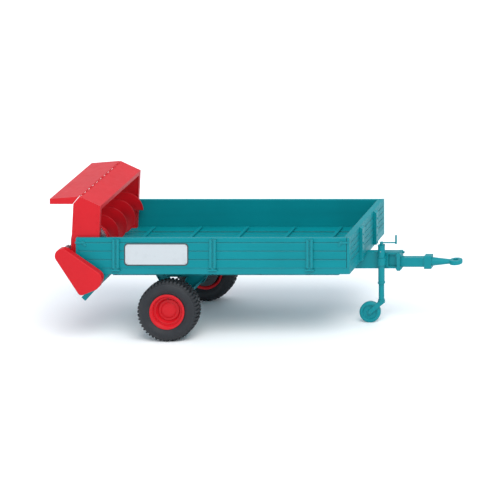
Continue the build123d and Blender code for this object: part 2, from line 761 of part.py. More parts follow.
with BuildPart() as flange_bolts:
    behind = head + beam_front - flange_thickness
    for start, length, shape in ((behind - 14, 14, "hex"), (behind, 2 * flange_thickness + 24, "rod"),
                                 (behind + 2 * flange_thickness, 17, "hex")):
        with BuildSketch(Plane(origin=(start, 0, flange_z), x_dir=(0, 1, 0), z_dir=(1, 0, 0))):
            with bolt_grid:
                if shape == "hex":
                    RegularPolygon(17, 6)
                else:
                    Circle(flange_bolt_radius)
        extrude(amount=length)
save(flange_bolts, "flange_bolts")

collar_x = head + front_beam_end
with BuildPart() as tow_collar:
    with BuildSketch(Plane(origin=(collar_x, 0, tow_height), x_dir=(0, 1, 0), z_dir=(1, 0, 0))):
        RectangleRounded(collar_width, collar_height, 22)
        Circle(shank_radius + run_fit, mode=Mode.SUBTRACT)
    extrude(amount=collar_length)
    fillet(tow_collar.faces().sort_by(Axis.X)[-1].outer_wire().edges(), 6)
save(tow_collar, "tow_collar")

eye_x = head + eye_reach
with BuildPart() as tow_eye:
    with BuildSketch(Plane(origin=(collar_x + 4, 0, tow_height), x_dir=(0, 1, 0), z_dir=(1, 0, 0))):
        Circle(shank_radius)
    extrude(amount=collar_length - 3)
    with BuildSketch(Plane(origin=(collar_x + collar_length + 1, 0, tow_height), x_dir=(0, 1, 0),
                           z_dir=(1, 0, 0))):
        Circle(60)
    with BuildSketch(Plane(origin=(eye_x - 60, 0, tow_height), x_dir=(0, 1, 0), z_dir=(1, 0, 0))):
        Ellipse(46, eye_thickness / 2 - 2)
    loft()
    with BuildSketch(Plane.XY.offset(tow_height - eye_thickness / 2)):
        with Locations((eye_x, 0)):
            Circle(eye_outer_radius)
    extrude(amount=eye_thickness)
    rounded = tow_eye.edges().filter_by(GeomType.CIRCLE).filter_by(
        lambda edge: abs(edge.radius - eye_outer_radius) < 0.1)
    fillet(rounded, 14)
    with BuildSketch(Plane.XY.offset(tow_height - eye_thickness / 2)):
        with Locations((eye_x, 0)):
            Circle(eye_hole_radius)
    extrude(amount=eye_thickness, mode=Mode.SUBTRACT)
save(tow_eye, "tow_eye")

# ======== jack ========
clamp_face = beam_width / 2 + 8
with BuildPart() as jack_clamp:
    box_between((jack_x - 80, jack_x + 80), (-clamp_face, -beam_width / 2), (beam_bottom + 20, beam_top - 20))
    with BuildSketch(Plane.XY.offset(jack_step - 25)):
        with Locations((jack_x, jack_offset)):
            Circle(jack_upper_radius + 10)
        with Locations((jack_x, (jack_offset - clamp_face) / 2)):
            Rectangle(90, -jack_offset - clamp_face)
        with Locations((jack_x, jack_offset)):
            Circle(jack_upper_radius, mode=Mode.SUBTRACT)
    extrude(amount=100)
save(jack_clamp, "jack_clamp")

with BuildPart() as jack_outer_tube:
    for low, high, radius in ((jack_step - 30, jack_top - 12, jack_upper_radius),
                              (jack_tube_bottom, jack_step - 30, jack_lower_radius),
                              (jack_tube_bottom, jack_tube_bottom + 20, jack_upper_radius + 3)):
        with BuildSketch(Plane.XY.offset(low)):
            with Locations((jack_x, jack_offset)):
                Circle(radius)
        extrude(amount=high - low)
    with BuildSketch(Plane.XY.offset(jack_tube_bottom)):
        with Locations((jack_x, jack_offset)):
            Circle(inner_tube_radius + face_gap)
    extrude(amount=jack_top - 24 - jack_tube_bottom, mode=Mode.SUBTRACT)
    with BuildSketch(Plane.XY.offset(jack_top - 12)):
        with Locations((jack_x, jack_offset)):
            Circle(jack_upper_radius + 4)
    extrude(amount=12)
    with BuildSketch(Plane.XY.offset(jack_top - 24)):
        with Locations((jack_x, jack_offset)):
            Circle(spindle_radius + run_fit)
    extrude(amount=24, mode=Mode.SUBTRACT)
save(jack_outer_tube, "jack_outer_tube")

inner_top = jack_tube_bottom + 270
with BuildPart() as jack_inner_tube:
    with BuildSketch(Plane.XY.offset(inner_tube_bottom)):
        with Locations((jack_x, jack_offset)):
            Circle(inner_tube_radius)
    extrude(amount=inner_top - inner_tube_bottom)
    with BuildSketch(Plane.XY.offset(inner_tube_bottom)):
        with Locations((jack_x, jack_offset)):
            Circle(inner_tube_radius + 8)
    extrude(amount=18)
    with BuildSketch(Plane.XY.offset(inner_tube_bottom + 30)):
        with Locations((jack_x, jack_offset)):
            Circle(spindle_radius + run_fit)
    extrude(amount=inner_top - inner_tube_bottom - 30, mode=Mode.SUBTRACT)
    with BuildSketch(Plane.XY.offset(inner_tube_bottom + 50)):
        with Locations((jack_x, jack_offset)):
            Circle(inner_tube_radius - jack_wall)
    extrude(amount=inner_top - inner_tube_bottom - 90, mode=Mode.SUBTRACT)
    with BuildSketch(Plane.XY.offset(inner_tube_bottom - 34)):
        with Locations((jack_x, jack_offset)):
            Circle(16)
    extrude(amount=34)
save(jack_inner_tube, "jack_inner_tube")

with BuildPart() as jack_crank:
    spindle_bottom = inner_tube_bottom + jack_travel + 45
    with BuildSketch(Plane.XY.offset(spindle_bottom)):
        with Locations((jack_x, jack_offset)):
            Circle(spindle_radius)
    extrude(amount=crank_height - 16 - spindle_bottom)
    with BuildSketch(Plane.XY.offset(jack_top - 24 - face_gap - 10)):
        with Locations((jack_x, jack_offset)):
            Circle(24)
    extrude(amount=10)
    with BuildSketch(Plane.XY.offset(jack_top + face_gap)):
        with Locations((jack_x, jack_offset)):
            Circle(22)
    extrude(amount=crank_height + 10 - jack_top)
    with BuildSketch(Plane(origin=(jack_x + 16, jack_offset, crank_height), x_dir=(0, 1, 0),
                           z_dir=(1, 0, 0))):
        Circle(crank_bar_radius)
    extrude(amount=crank_reach - 16)
    with BuildSketch(Plane.XY.offset(crank_height - 16)):
        with Locations((jack_x + crank_reach, jack_offset)):
            Circle(crank_handle_radius)
    extrude(amount=122)
    fillet(jack_crank.edges().filter_by(GeomType.CIRCLE).group_by(Axis.Z)[-1], 5)
save(jack_crank, "jack_crank")

fork_head_z = inner_tube_bottom - face_gap
jockey_x = jack_x - jockey_trail
with BuildPart() as jockey_fork:
    with BuildSketch(Plane.XY.offset(fork_head_z - 30)):
        with Locations((jack_x, jack_offset)):
            Circle(48)
    extrude(amount=30)
    cheek = jockey_width / 2 + 4
    for side in (-1, 1):
        plate_y = jack_offset + side * cheek + (6 if side > 0 else 0)
        with BuildSketch(across(0, 0, plate_y)):
            with BuildLine():
                Polyline((jack_x + 38, fork_head_z - 8), (jack_x - 40, fork_head_z - 8),
                         (jockey_x - 20, jockey_radius + 14), (jockey_x - 20, jockey_radius - 16),
                         (jockey_x + 14, jockey_radius - 24), (jack_x + 38, fork_head_z - 30), close=True)
            make_face()
            with Locations((jockey_x, jockey_radius)):
                Circle(jockey_axle_radius, mode=Mode.SUBTRACT)
        extrude(amount=6)
    with BuildSketch(Plane.XY.offset(fork_head_z - 34)):
        with Locations((jack_x, jack_offset)):
            Circle(16 + run_fit)
    extrude(amount=34, mode=Mode.SUBTRACT)
    rod_along_y(jockey_x, jockey_radius, (jack_offset - cheek - 16, jack_offset + cheek + 16),
                jockey_axle_radius)
    rod_along_y(jockey_x, jockey_radius, (jack_offset + cheek + 6, jack_offset + cheek + 15), 17)
    rod_along_y(jockey_x, jockey_radius, (jack_offset - cheek - 15, jack_offset - cheek - 6), 17)
save(jockey_fork, "jockey_fork")

with BuildPart() as jockey_wheel:
    with BuildSketch(turned(jockey_x, jockey_radius)):
        edge = jockey_width / 2
        with BuildLine():
            Polyline((jack_offset - edge, 18), (jack_offset - edge, 34), (jack_offset - 12, 46),
                     (jack_offset - 12, 96), (jack_offset - 30, 104), (jack_offset - 30, 128),
                     (jack_offset - 18, jockey_radius), (jack_offset + 18, jockey_radius),
                     (jack_offset + 30, 128), (jack_offset + 30, 104), (jack_offset + 12, 96),
                     (jack_offset + 12, 46), (jack_offset + edge, 34), (jack_offset + edge, 18))
            Polyline((jack_offset + edge, 18), (jack_offset + edge, jockey_axle_radius + run_fit),
                     (jack_offset - edge, jockey_axle_radius + run_fit), (jack_offset - edge, 18))
        make_face()
    revolve(axis=y_axis(jockey_x, jockey_radius))
save(jockey_wheel, "jockey_wheel")

# ======== hood ========
hood_outline = [(head + hood_front_foot, floor_top), (head + hood_front_top[0], hood_front_top[1]),
                (ridge_x, ridge[1]), (head + hood_rear_top[0], hood_rear_top[1]),
                (head + hood_rear_foot, floor_top)]
hood_inner_y = post_inner - hood_thickness
with BuildPart() as hood_side:
    with BuildSketch(across(0, 0, -hood_inner_y)):
        with BuildLine():
            Polyline(*hood_outline, close=True)
        make_face()
    extrude(amount=hood_thickness)
    with BuildSketch(across(0, 0, -hood_inner_y)):
        with BuildLine():
            Polyline(*hood_outline, close=True)
        make_face()
        offset(amount=-hood_sheet, kind=Kind.INTERSECTION, mode=Mode.REPLACE)
    extrude(amount=hood_thickness - hood_sheet, mode=Mode.SUBTRACT)
    rod_along_y(beater_x, beater_z, (-post_inner, -post_inner + hood_sheet), beater_shaft_radius + 6,
                mode=Mode.SUBTRACT)
save_both(hood_side, "hood_side")

hinge_top = ridge[1] + 3
roof_half = hood_inner_y
slope = atan2(ridge[1] - hood_front_top[1], hood_front_top[0] - ridge[0])
hinge_pitch = 2 * roof_half / visor_hinge_count
visor_hinge_places = [(number - (visor_hinge_count - 1) / 2) * hinge_pitch for number in range(visor_hinge_count)]


def barrels(spans, tab_to, tab_drop):
    """Hinge barrels along the ridge, with tabs to the sheet that ends at tab_to."""
    for place in visor_hinge_places:
        for low, high in spans:
            rod_along_y(ridge_x, hinge_top, (place + low, place + high), visor_barrel_radius)
            box_between(sorted((ridge_x, tab_to)), (place + low, place + high), (hinge_top - tab_drop, hinge_top - 3))


def bore_barrels(radius):
    rod_along_y(ridge_x, hinge_top, (-roof_half, roof_half), radius, mode=Mode.SUBTRACT)


with BuildPart() as hood_roof:
    with BuildSketch(across(head, 0, roof_half)):
        front_x, front_z = hood_front_top
        start_x = ridge[0] + sheet_edge
        start_z = ridge[1] - sheet_edge * sin(slope) / cos(slope)
        drop_x = roof_lip * (hood_front_top[0] - hood_front_foot) / (hood_front_top[1] - floor_top)
        with BuildLine():
            Polyline((start_x, start_z), (front_x, front_z), (front_x - drop_x, front_z - roof_lip),
                     (front_x - drop_x - roof_sheet, front_z - roof_lip), (front_x - roof_sheet, front_z - 4),
                     (start_x, start_z - roof_sheet / cos(slope)), close=True)
        make_face()
    extrude(amount=2 * roof_half)
    barrels([(-hinge_pitch / 4, hinge_pitch / 4)], head + start_x + 12, 15)
    bore_barrels(visor_pin_radius)
save(hood_roof, "hood_roof")

with BuildPart() as rear_visor:
    start_x = ridge[0] - sheet_edge
    slope_back = (visor_tail_top - ridge[1]) / (visor_tail - ridge[0])
    start_z = ridge[1] + slope_back * (start_x - ridge[0])
    cheek_front = (hood_rear_top[0] - 10, visor_tail_bottom)
    shell = [(start_x, start_z), (visor_tail, visor_tail_top), (visor_tail, visor_tail_bottom), cheek_front]
    with BuildSketch(across(head, 0, post_inner)):
        with BuildLine():
            Polyline(*shell, close=True)
        make_face()
    extrude(amount=2 * post_inner)
    with BuildSketch(across(head, 0, post_inner - hood_sheet)):
        with BuildLine():
            Polyline((start_x + 60, start_z - roof_sheet), (visor_tail + roof_sheet, visor_tail_top - roof_sheet),
                     (visor_tail + roof_sheet, visor_tail_bottom - 60), (start_x + 60, visor_tail_bottom - 60),
                     close=True)
        make_face()
    extrude(amount=2 * (post_inner - hood_sheet), mode=Mode.SUBTRACT)
    quarter = hinge_pitch / 4 + visor_barrel_gap
    barrels([(-hinge_pitch / 2, -quarter), (quarter, hinge_pitch / 2)], head + start_x - 12, 8)
    bore_barrels(visor_pin_radius + run_fit)
save(rear_visor, "rear_visor")

with BuildPart() as visor_pins:
    rod_along_y(ridge_x, hinge_top, (-roof_half, roof_half), visor_pin_radius)
save(visor_pins, "visor_pins")

# ======== beater ========
journal_end = post_inner - hood_sheet - 6
gear_low = -(beater_half_length + 18 + gear_width)
blade = beater_radius - beater_tube_radius + 2
with BuildSketch(across(beater_x, beater_z, beater_half_length)) as blade_section:
    with Locations((beater_radius - blade / 2, 0)):
        Rectangle(blade, flight_thickness)
flight_turn = 360 * 2 * beater_half_length / flight_pitch
flights = Solid.extrude_linear_with_rotation(blade_section.sketch.face(), (beater_x, beater_half_length, beater_z),
                                             (0, -2 * beater_half_length, 0), flight_turn)
with BuildPart() as beater:
    rod_along_y(beater_x, beater_z, (-journal_end, journal_end), beater_shaft_radius)
    rod_along_y(beater_x, beater_z, (gear_low + gear_width, beater_half_length + 40), beater_tube_radius)
    rod_along_y(beater_x, beater_z, (gear_low + gear_width + 2, gear_low + gear_width + 10), end_disc_radius)
    add(flights)
    with BuildSketch(across(beater_x, beater_z, beater_half_length + 32)):
        Circle(beater_tube_radius - 6)
        Circle(beater_shaft_radius, mode=Mode.SUBTRACT)
    extrude(amount=beater_half_length + 24 - gear_low - gear_width, mode=Mode.SUBTRACT)
    with BuildSketch(across(beater_x, beater_z, beater_half_length + 40)):
        with PolarLocations((beater_tube_radius + beater_shaft_radius) / 2, 4):
            Circle(14)
    extrude(amount=60, mode=Mode.SUBTRACT)
save(beater, "beater")


def gear_outline(teeth, tooth_angle):
    """Points of a straight-flanked gear, with thin teeth so that the pair runs with backlash."""
    pitch_radius = gear_module * teeth / 2
    points = []
    for number in range(teeth):
        middle = tooth_angle + 360 * number / teeth
        for radius, share in ((pitch_radius - 1.3 * gear_module, -0.36), (pitch_radius, -0.22),
                              (pitch_radius + 0.85 * gear_module, -0.10),
                              (pitch_radius + 0.85 * gear_module, 0.10), (pitch_radius, 0.22),
                              (pitch_radius - 1.3 * gear_module, 0.36)):
            angle = radians(middle + share * 360 / teeth)
            points.append((radius * cos(angle), radius * sin(angle)))
    return points


mesh_angle = degrees(atan2(beater_z - jackshaft_z, beater_x - jackshaft_x))   # pinion towards ring gear


def gear(teeth, x, z, tooth_angle, bore, low):
    """Add a gear with one tooth pointing at tooth_angle, measured from forward towards up."""
    with BuildSketch(across(x, z, low + gear_width)) as wheel:
        with BuildLine():
            Polyline(*gear_outline(teeth, tooth_angle), close=True)
        make_face()
        Circle(bore, mode=Mode.SUBTRACT)
    extrude(wheel.sketch, amount=gear_width)


with BuildPart() as beater_gear:
    gear(ring_teeth, beater_x, beater_z, mesh_angle + 180 + 180 / ring_teeth, beater_shaft_radius, gear_low)
    with BuildSketch(across(beater_x, beater_z, gear_low + gear_width)):
        with PolarLocations(150, 6):
            Circle(45)
    extrude(amount=gear_width, mode=Mode.SUBTRACT)
save(beater_gear, "beater_gear")

# ======== rear chain drive ========
def sprocket(x, z, teeth, first_angle):
    """Add a sprocket disc on the chain's centre plane."""
    radius = chain_pitch / 2 / sin(pi / teeth)
    width = chain_inner_width - 3
    with BuildSketch(across(x, z, sprocket_y + width / 2)) as disc:
        Circle(radius + tooth_height)
        with PolarLocations(radius + 5, teeth, first_angle):
            SlotCenterToCenter(10, 2 * (roller_radius + 1), mode=Mode.SUBTRACT)
    extrude(disc.sketch, amount=width)


tangent = sqrt(chain_centres ** 2 - (large_radius - small_radius) ** 2)
wrap = atan2(tangent, large_radius - small_radius)     # half the chain's wrap on the small sprocket
large_step = 2 * pi / large_teeth
small_step = 2 * pi / small_teeth
small_run = 2 * wrap / small_step                       # lengths along the chain, in links
large_run = (2 * pi - 2 * wrap) / large_step
straight_run = (chain_links - small_run - large_run) / 2
small_phase = pi - wrap + (ceil(straight_run) - straight_run) * small_step


def chain_point(link):
    """Centre of a roller, counted in links from the large sprocket's upper tangent point."""
    lean = radians(chain_lean)
    upper = pi - wrap
    if link < straight_run:
        share = link / straight_run
        radius = large_radius + share * (small_radius - large_radius)
        x, z = -share * chain_centres + radius * cos(upper), radius * sin(upper)
    elif link < straight_run + small_run:
        angle = upper + (link - straight_run) * small_step
        x, z = -chain_centres + small_radius * cos(angle), small_radius * sin(angle)
    elif link < 2 * straight_run + small_run:
        share = (link - straight_run - small_run) / straight_run
        radius = small_radius + share * (large_radius - small_radius)
        x, z = (share - 1) * chain_centres + radius * cos(-upper), radius * sin(-upper)
    else:
        angle = upper - (chain_links - link) * large_step
        x, z = large_radius * cos(angle), large_radius * sin(angle)
    return (cross_x + x * cos(lean) + z * sin(lean), cross_z - x * sin(lean) + z * cos(lean))


with BuildPart() as jackshaft:
    rod_along_y(jackshaft_x, jackshaft_z, (gear_low + gear_width + 4, sprocket_y - 22), jackshaft_radius)
    gear(pinion_teeth, jackshaft_x, jackshaft_z, mesh_angle, jackshaft_radius - 1, gear_low)
    sprocket(jackshaft_x, jackshaft_z, small_teeth, degrees(small_phase) - chain_lean)
save(jackshaft, "jackshaft")

feed_box_right = chain_track + 60
with BuildPart() as cross_shaft:
    rod_along_y(cross_x, cross_z, (sprocket_y - 22, sill_inner - 40), cross_shaft_radius)
    sprocket(cross_x, cross_z, large_teeth, 180 - degrees(wrap) - chain_lean)
save(cross_shaft, "cross_shaft")

rollers = [chain_point(link) for link in range(chain_links)]
free_rollers = [(x, z) for x, z in rollers
                if hypot(x - cross_x, z - cross_z) > large_radius + tooth_height + roller_radius + 0.5
                and hypot(x - jackshaft_x, z - jackshaft_z) > small_radius + tooth_height + roller_radius + 0.5]
inner_side = chain_inner_width / 2
with BuildPart() as drive_chain:
    for radius, side in ((roller_radius, inner_side), (4.5, inner_side + 2 * plate_thickness)):
        with BuildSketch(across(0, 0, sprocket_y + side)):
            with Locations(*free_rollers):
                Circle(radius)
        extrude(amount=2 * side)
    for first in (0, 1):
        start = inner_side + first * plate_thickness
        for face in (sprocket_y + start + plate_thickness, sprocket_y - start):
            with BuildSketch(across(0, 0, face)):
                for link in range(first, chain_links, 2):
                    (x, z), (next_x, next_z) = rollers[link], rollers[(link + 1) % chain_links]
                    with Locations(Location(((x + next_x) / 2, (z + next_z) / 2),
                                            degrees(atan2(next_z - z, next_x - x)))):
                        SlotCenterToCenter(hypot(next_x - x, next_z - z), plate_height)
            extrude(amount=plate_thickness)
save(drive_chain, "drive_chain")

# rounded corners of the chain case: centre from the headboard's front face, Z, radius
case_corners = ((rear + jackshaft_place[0], jackshaft_z, 98), (rear + 292, 897, 111),
                (rear + 264, 855, 120), (rear + 124, 729, 55))


def case_outline(inset):
    """Sketch of the chain case's outline: the hull of its rounded corners."""
    with BuildSketch(across(0, 0, 0)) as outline:
        with BuildLine():
            for x, z, radius in case_corners:
                CenterArc((head + x, z), radius - inset, 0, 360)
        make_hull()
    return outline.sketch


with BuildPart() as chain_case_back:
    extrude(Pos(0, -case_inner, 0) * case_outline(0), amount=case_back)
    rod_along_y(jackshaft_x, jackshaft_z, (-case_inner, gear_low - 12), jackshaft_radius + 18)
    rod_along_y(cross_x, cross_z, (-case_inner, -sill_outer), cross_shaft_radius + 22)
    box_between((head + rear + 80, head + rear + 230), (-case_inner, -sill_outer), (sill_bottom + 6, sill_top - 6))
    box_between((head - bed_length, side_rear - swing_gap - 4), (-case_inner, -half), (1080, 1160))
    rod_along_y(jackshaft_x, jackshaft_z, (-case_outer, gear_low - 12), jackshaft_radius + run_fit,
                mode=Mode.SUBTRACT)
    rod_along_y(cross_x, cross_z, (-case_outer, -sill_inner), cross_shaft_radius + run_fit,
                mode=Mode.SUBTRACT)
save(chain_case_back, "chain_case_back")

with BuildPart() as chain_case_cover:
    extrude(Pos(0, -case_inner - case_back, 0) * case_outline(0), amount=case_outer - case_inner - case_back)
    fillet(chain_case_cover.faces().sort_by(Axis.Y)[0].edges(), 8)
    extrude(Pos(0, -case_inner - case_back, 0) * case_outline(case_sheet),
            amount=case_outer - case_inner - case_back - case_sheet, mode=Mode.SUBTRACT)
save(chain_case_cover, "chain_case_cover")

# ======== gearboxes, bearings and PTO line ========
casing = 8


def gear_casing(x, y, z):
    """Add a hollow casing with rounded corners."""
    box_between(x, y, z)
    with Locations(((x[0] + x[1]) / 2, (y[0] + y[1]) / 2, (z[0] + z[1]) / 2)):
        Box(x[1] - x[0] - 2 * casing, y[1] - y[0] - 2 * casing, z[1] - z[0] - 2 * casing, mode=Mode.SUBTRACT)


box_front = head + rail_rear
with BuildPart() as gearbox:
    gear_casing((cross_x - 75, box_front), (pto_offset - 95, pto_offset + 95), (pto_height - 55, sill_top - 76))
    fillet(gearbox.edges().filter_by(Axis.Y).group_by(SortBy.LENGTH)[-1], 14)
    rod_along_y(cross_x, cross_z, (pto_offset - 120, pto_offset + 120), cross_shaft_radius + run_fit,
                mode=Mode.SUBTRACT)
    with BuildSketch(Plane(origin=(box_front - 20, pto_offset, pto_height), x_dir=(0, 1, 0), z_dir=(1, 0, 0))):
        Circle(pto_shaft_radius + run_fit)
    extrude(amount=40, mode=Mode.SUBTRACT)
save(gearbox, "gearbox")

floor_drive_x = head + floor_drive_position
with BuildPart() as floor_gearbox:
    gear_casing((cross_x - 60, floor_drive_x + 60), (feed_box_right, sill_inner), (cross_z - 60, sill_top - 3))
    for x, z, radius in ((cross_x, cross_z, cross_shaft_radius), (floor_drive_x, floor_shaft_z, floor_shaft_radius)):
        rod_along_y(x, z, (feed_box_right - 10, feed_box_right + 2 * casing), radius + run_fit,
                    mode=Mode.SUBTRACT)
save(floor_gearbox, "floor_gearbox")


def flange_bearing(x, z, radius, mouth, back):
    """Add a flanged bearing between two Y values; its flange is at the back."""
    flange = mouth + (back - mouth) * 0.6
    rod_along_y(x, z, (flange, back), radius * 1.8)
    rod_along_y(x, z, (mouth, back), radius * 1.45)
    rod_along_y(x, z, (mouth, back), radius + run_fit, mode=Mode.SUBTRACT)


web = post_inner - hood_sheet
with BuildPart() as flange_bearings:
    for side in (-1, 1):
        flange_bearing(beater_x, beater_z, beater_shaft_radius, side * (web - 36), side * web)
        flange_bearing(head + idler_position, floor_shaft_z, floor_shaft_radius, side * (sill_inner - 30),
                       side * sill_inner)
    flange_bearing(floor_drive_x, floor_shaft_z, floor_shaft_radius, -sill_inner + 30, -sill_inner)
    hangers = [(head + place, tie_bottom) for place in (tie_positions[0], tie_positions[2])]
    for x, top in hangers + [(head - headboard_depth / 2, sill_bottom)]:
        box_between((x - 18, x + 18), (pto_offset - 45, pto_offset + 45), (pto_height - 42, top))
        with BuildSketch(Plane(origin=(x - 18, pto_offset, pto_height), x_dir=(0, 1, 0), z_dir=(1, 0, 0))):
            Circle(pto_shaft_radius + run_fit)
        extrude(amount=36, mode=Mode.SUBTRACT)
save(flange_bearings, "flange_bearings")

with BuildPart() as pto_shaft:
    shaft_front = head + pto_front - pto_stub_length
    for start, stop, radius in ((box_front - 40, shaft_front, pto_shaft_radius),
                                (shaft_front, head + pto_front, pto_stub_radius)):
        with BuildSketch(Plane(origin=(start, pto_offset, pto_height), x_dir=(0, 1, 0), z_dir=(1, 0, 0))):
            Circle(radius)
        extrude(amount=stop - start)
    chamfer(pto_shaft.faces().sort_by(Axis.X)[-1].edges(), 3)
save(pto_shaft, "pto_shaft")

with BuildPart() as rear_underrun_bar:
    for side in (-1, 1):
        with BuildSketch(across(head, 0, max(side * (sill_inner + 2), side * (sill_inner + 62)))):
            with BuildLine():
                Polyline((rear + 467, sill_bottom), (rear + 372, sill_bottom), (rear + 76, underrun_height - 26),
                         (rear + 128, underrun_height - 73), close=True)
            make_face()
        extrude(amount=60)
    rod_along_y(head + rear + 148, underrun_height, (-sill_inner - 2, sill_inner + 2), 24)
save(rear_underrun_bar, "rear_underrun_bar")
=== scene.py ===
import json
import math

import bmesh
import bpy
from mathutils import Matrix, Vector


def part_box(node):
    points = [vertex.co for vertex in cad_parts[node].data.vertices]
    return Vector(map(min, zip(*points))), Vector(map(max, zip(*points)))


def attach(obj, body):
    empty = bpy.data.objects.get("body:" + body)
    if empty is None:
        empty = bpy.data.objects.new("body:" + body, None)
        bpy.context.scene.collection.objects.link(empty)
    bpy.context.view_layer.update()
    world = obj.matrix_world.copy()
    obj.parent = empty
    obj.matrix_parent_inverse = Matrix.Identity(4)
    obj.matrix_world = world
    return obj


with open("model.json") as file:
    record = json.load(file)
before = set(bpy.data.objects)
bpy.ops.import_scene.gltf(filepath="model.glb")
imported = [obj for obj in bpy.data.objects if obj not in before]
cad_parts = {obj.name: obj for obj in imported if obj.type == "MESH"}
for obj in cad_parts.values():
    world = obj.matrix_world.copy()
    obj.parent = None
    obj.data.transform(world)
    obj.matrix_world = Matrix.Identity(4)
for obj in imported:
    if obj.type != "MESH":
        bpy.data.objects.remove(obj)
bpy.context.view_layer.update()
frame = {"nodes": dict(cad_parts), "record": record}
nodes = frame["nodes"]
print("frame loaded:", len(nodes), "nodes")


# ---- shader helpers ----
class Wire:                                     # a socket that takes arithmetic
    def __init__(self, recipe, socket):
        self.recipe = recipe
        self.socket = socket

    def sums(self, operation, first, second, clamp=False):
        return self.recipe.add("ShaderNodeMath", {"operation": operation, "use_clamp": clamp}, {0: first, 1: second})

    def __add__(self, other):
        return self.sums("ADD", self, other)

    def __radd__(self, other):
        return self.sums("ADD", other, self)

    def __sub__(self, other):
        return self.sums("SUBTRACT", self, other)

    def __rsub__(self, other):
        return self.sums("SUBTRACT", other, self)

    def __mul__(self, other):
        return self.sums("MULTIPLY", self, other)

    def __rmul__(self, other):
        return self.sums("MULTIPLY", other, self)

    def __pow__(self, other):
        return self.sums("POWER", self, other)

    def limited(self):                          # kept between 0 and 1
        return self.sums("ADD", self, 0, clamp=True)


class Recipe:                                   # one material while it is wired up
    def __init__(self, name, **constants):
        self.material = bpy.data.materials.new(name)
        self.material.use_nodes = True
        self.tree = self.material.node_tree
        self.skin = self.tree.nodes["Principled BSDF"]
        for socket, value in constants.items():
            self.skin.inputs[socket.replace("_", " ")].default_value = value
        self.here = self.add("ShaderNodeTexCoord", {}, {}, out="Object")

    def add(self, kind, settings, sockets, out=0):
        node = self.tree.nodes.new(kind)
        for key, value in settings.items():
            if key == "stops":
                for stop, (place, colour) in zip(node.color_ramp.elements, value):
                    stop.position = place
                    stop.color = colour
            else:
                setattr(node, key, value)
        for key, value in sockets.items():
            self.feed(node.inputs[key], value)
        return Wire(self, node.outputs[out])

    def feed(self, socket, value):
        if isinstance(value, Wire):
            self.tree.links.new(value.socket, socket)
        else:
            socket.default_value = value

    def noise(self, scale, detail=3, stretch=(1, 1, 1), roughness=0.5):
        place = self.add("ShaderNodeMapping", {}, {"Vector": self.here, "Scale": stretch})
        return self.add("ShaderNodeTexNoise", {}, {"Vector": place, "Scale": scale, "Detail": detail,
                                                   "Roughness": roughness})

    def between(self, share, first, second):    # colour mix
        return self.add("ShaderNodeMix", {"data_type": "RGBA"}, {0: share, 6: first, 7: second}, out=2)

    def edge(self, radius):                     # rounded-over normal, and a mask along sharp edges
        soft = self.add("ShaderNodeBevel", {"samples": 4}, {"Radius": radius})
        flat = self.add("ShaderNodeNewGeometry", {}, {}, out="Normal")
        turn = self.add("ShaderNodeVectorMath", {"operation": "DOT_PRODUCT"}, {0: soft, 1: flat}, out="Value")
        return soft, ((1 - turn) * 5).limited()

    def bump(self, height, distance, normal=None):
        sockets = {"Height": height, "Distance": distance, "Strength": 1.0}
        if normal:
            sockets["Normal"] = normal
        return self.add("ShaderNodeBump", {}, sockets)

    def finish(self, **links):
        for socket, value in links.items():
            self.feed(self.skin.inputs[socket.replace("_", " ")], value)
        return self.material


def shade(colour, factor):
    return (colour[0] * factor, colour[1] * factor, colour[2] * factor, 1)


def lighter(colour, share):
    return tuple(value + (1 - value) * share for value in colour[:3]) + (1,)


# ---- finishes ----
enamel = {
    "teal": (0.0, 0.22, 0.255),
    "red": (0.56, 0.007, 0.014),
    "edgeRadius": 0.005,
    "edgeLight": 0.12,
    "rough": 0.36,
    "roughSpread": 0.16,
    "peel": 0.00012,
}


def paintedSteel(name, colour):
    recipe = Recipe(name, Coat_Weight=0.04, Coat_Roughness=0.3, Specular_IOR_Level=0.2)
    soft, worn = recipe.edge(enamel["edgeRadius"])
    patches = recipe.noise(2.2, 5)
    grime = recipe.noise(14, 6)
    base = recipe.between(patches, shade(colour, 0.88), shade(colour, 1.1))
    base = recipe.between(((grime - 0.62) * 2).limited(), base, shade(colour, 0.72))
    base = recipe.between(worn * enamel["edgeLight"], base, lighter(colour, 0.45))
    rough = enamel["rough"] + grime * enamel["roughSpread"]
    return recipe.finish(Base_Color=base, Roughness=rough,
                         Normal=recipe.bump(recipe.noise(260, 2), enamel["peel"] * 3, soft))


boardPaint = {"grainDepth": 0.0009, "grainLength": 0.035, "edgeRadius": 0.006}


def paintedBoards(name, colour, alongX):
    recipe = Recipe(name, Specular_IOR_Level=0.15)
    soft, worn = recipe.edge(boardPaint["edgeRadius"])
    thin = boardPaint["grainLength"]
    stretch = (thin, 1, 1) if alongX else (1, thin, 1)
    grain = recipe.noise(95, 5, stretch, 0.65)
    streak = recipe.noise(9, 4, stretch)
    patches = recipe.noise(1.6, 4)
    base = recipe.between(patches, shade(colour, 0.86), shade(colour, 1.12))
    base = recipe.between(((streak - 0.5) * 2.4).limited() * 0.5, base, shade(colour, 0.74))
    base = recipe.between(((grain - 0.6) * 4).limited() * 0.35, base, shade(colour, 0.6))
    base = recipe.between(worn * 0.2, base, lighter(colour, 0.4))
    return recipe.finish(Base_Color=base, Roughness=0.42 + grain * 0.16,
                         Normal=recipe.bump(grain, boardPaint["grainDepth"], soft))


tyreFinish = {"colour": (0.012, 0.014, 0.018), "dust": (0.04, 0.044, 0.05), "ring": 0.0006}


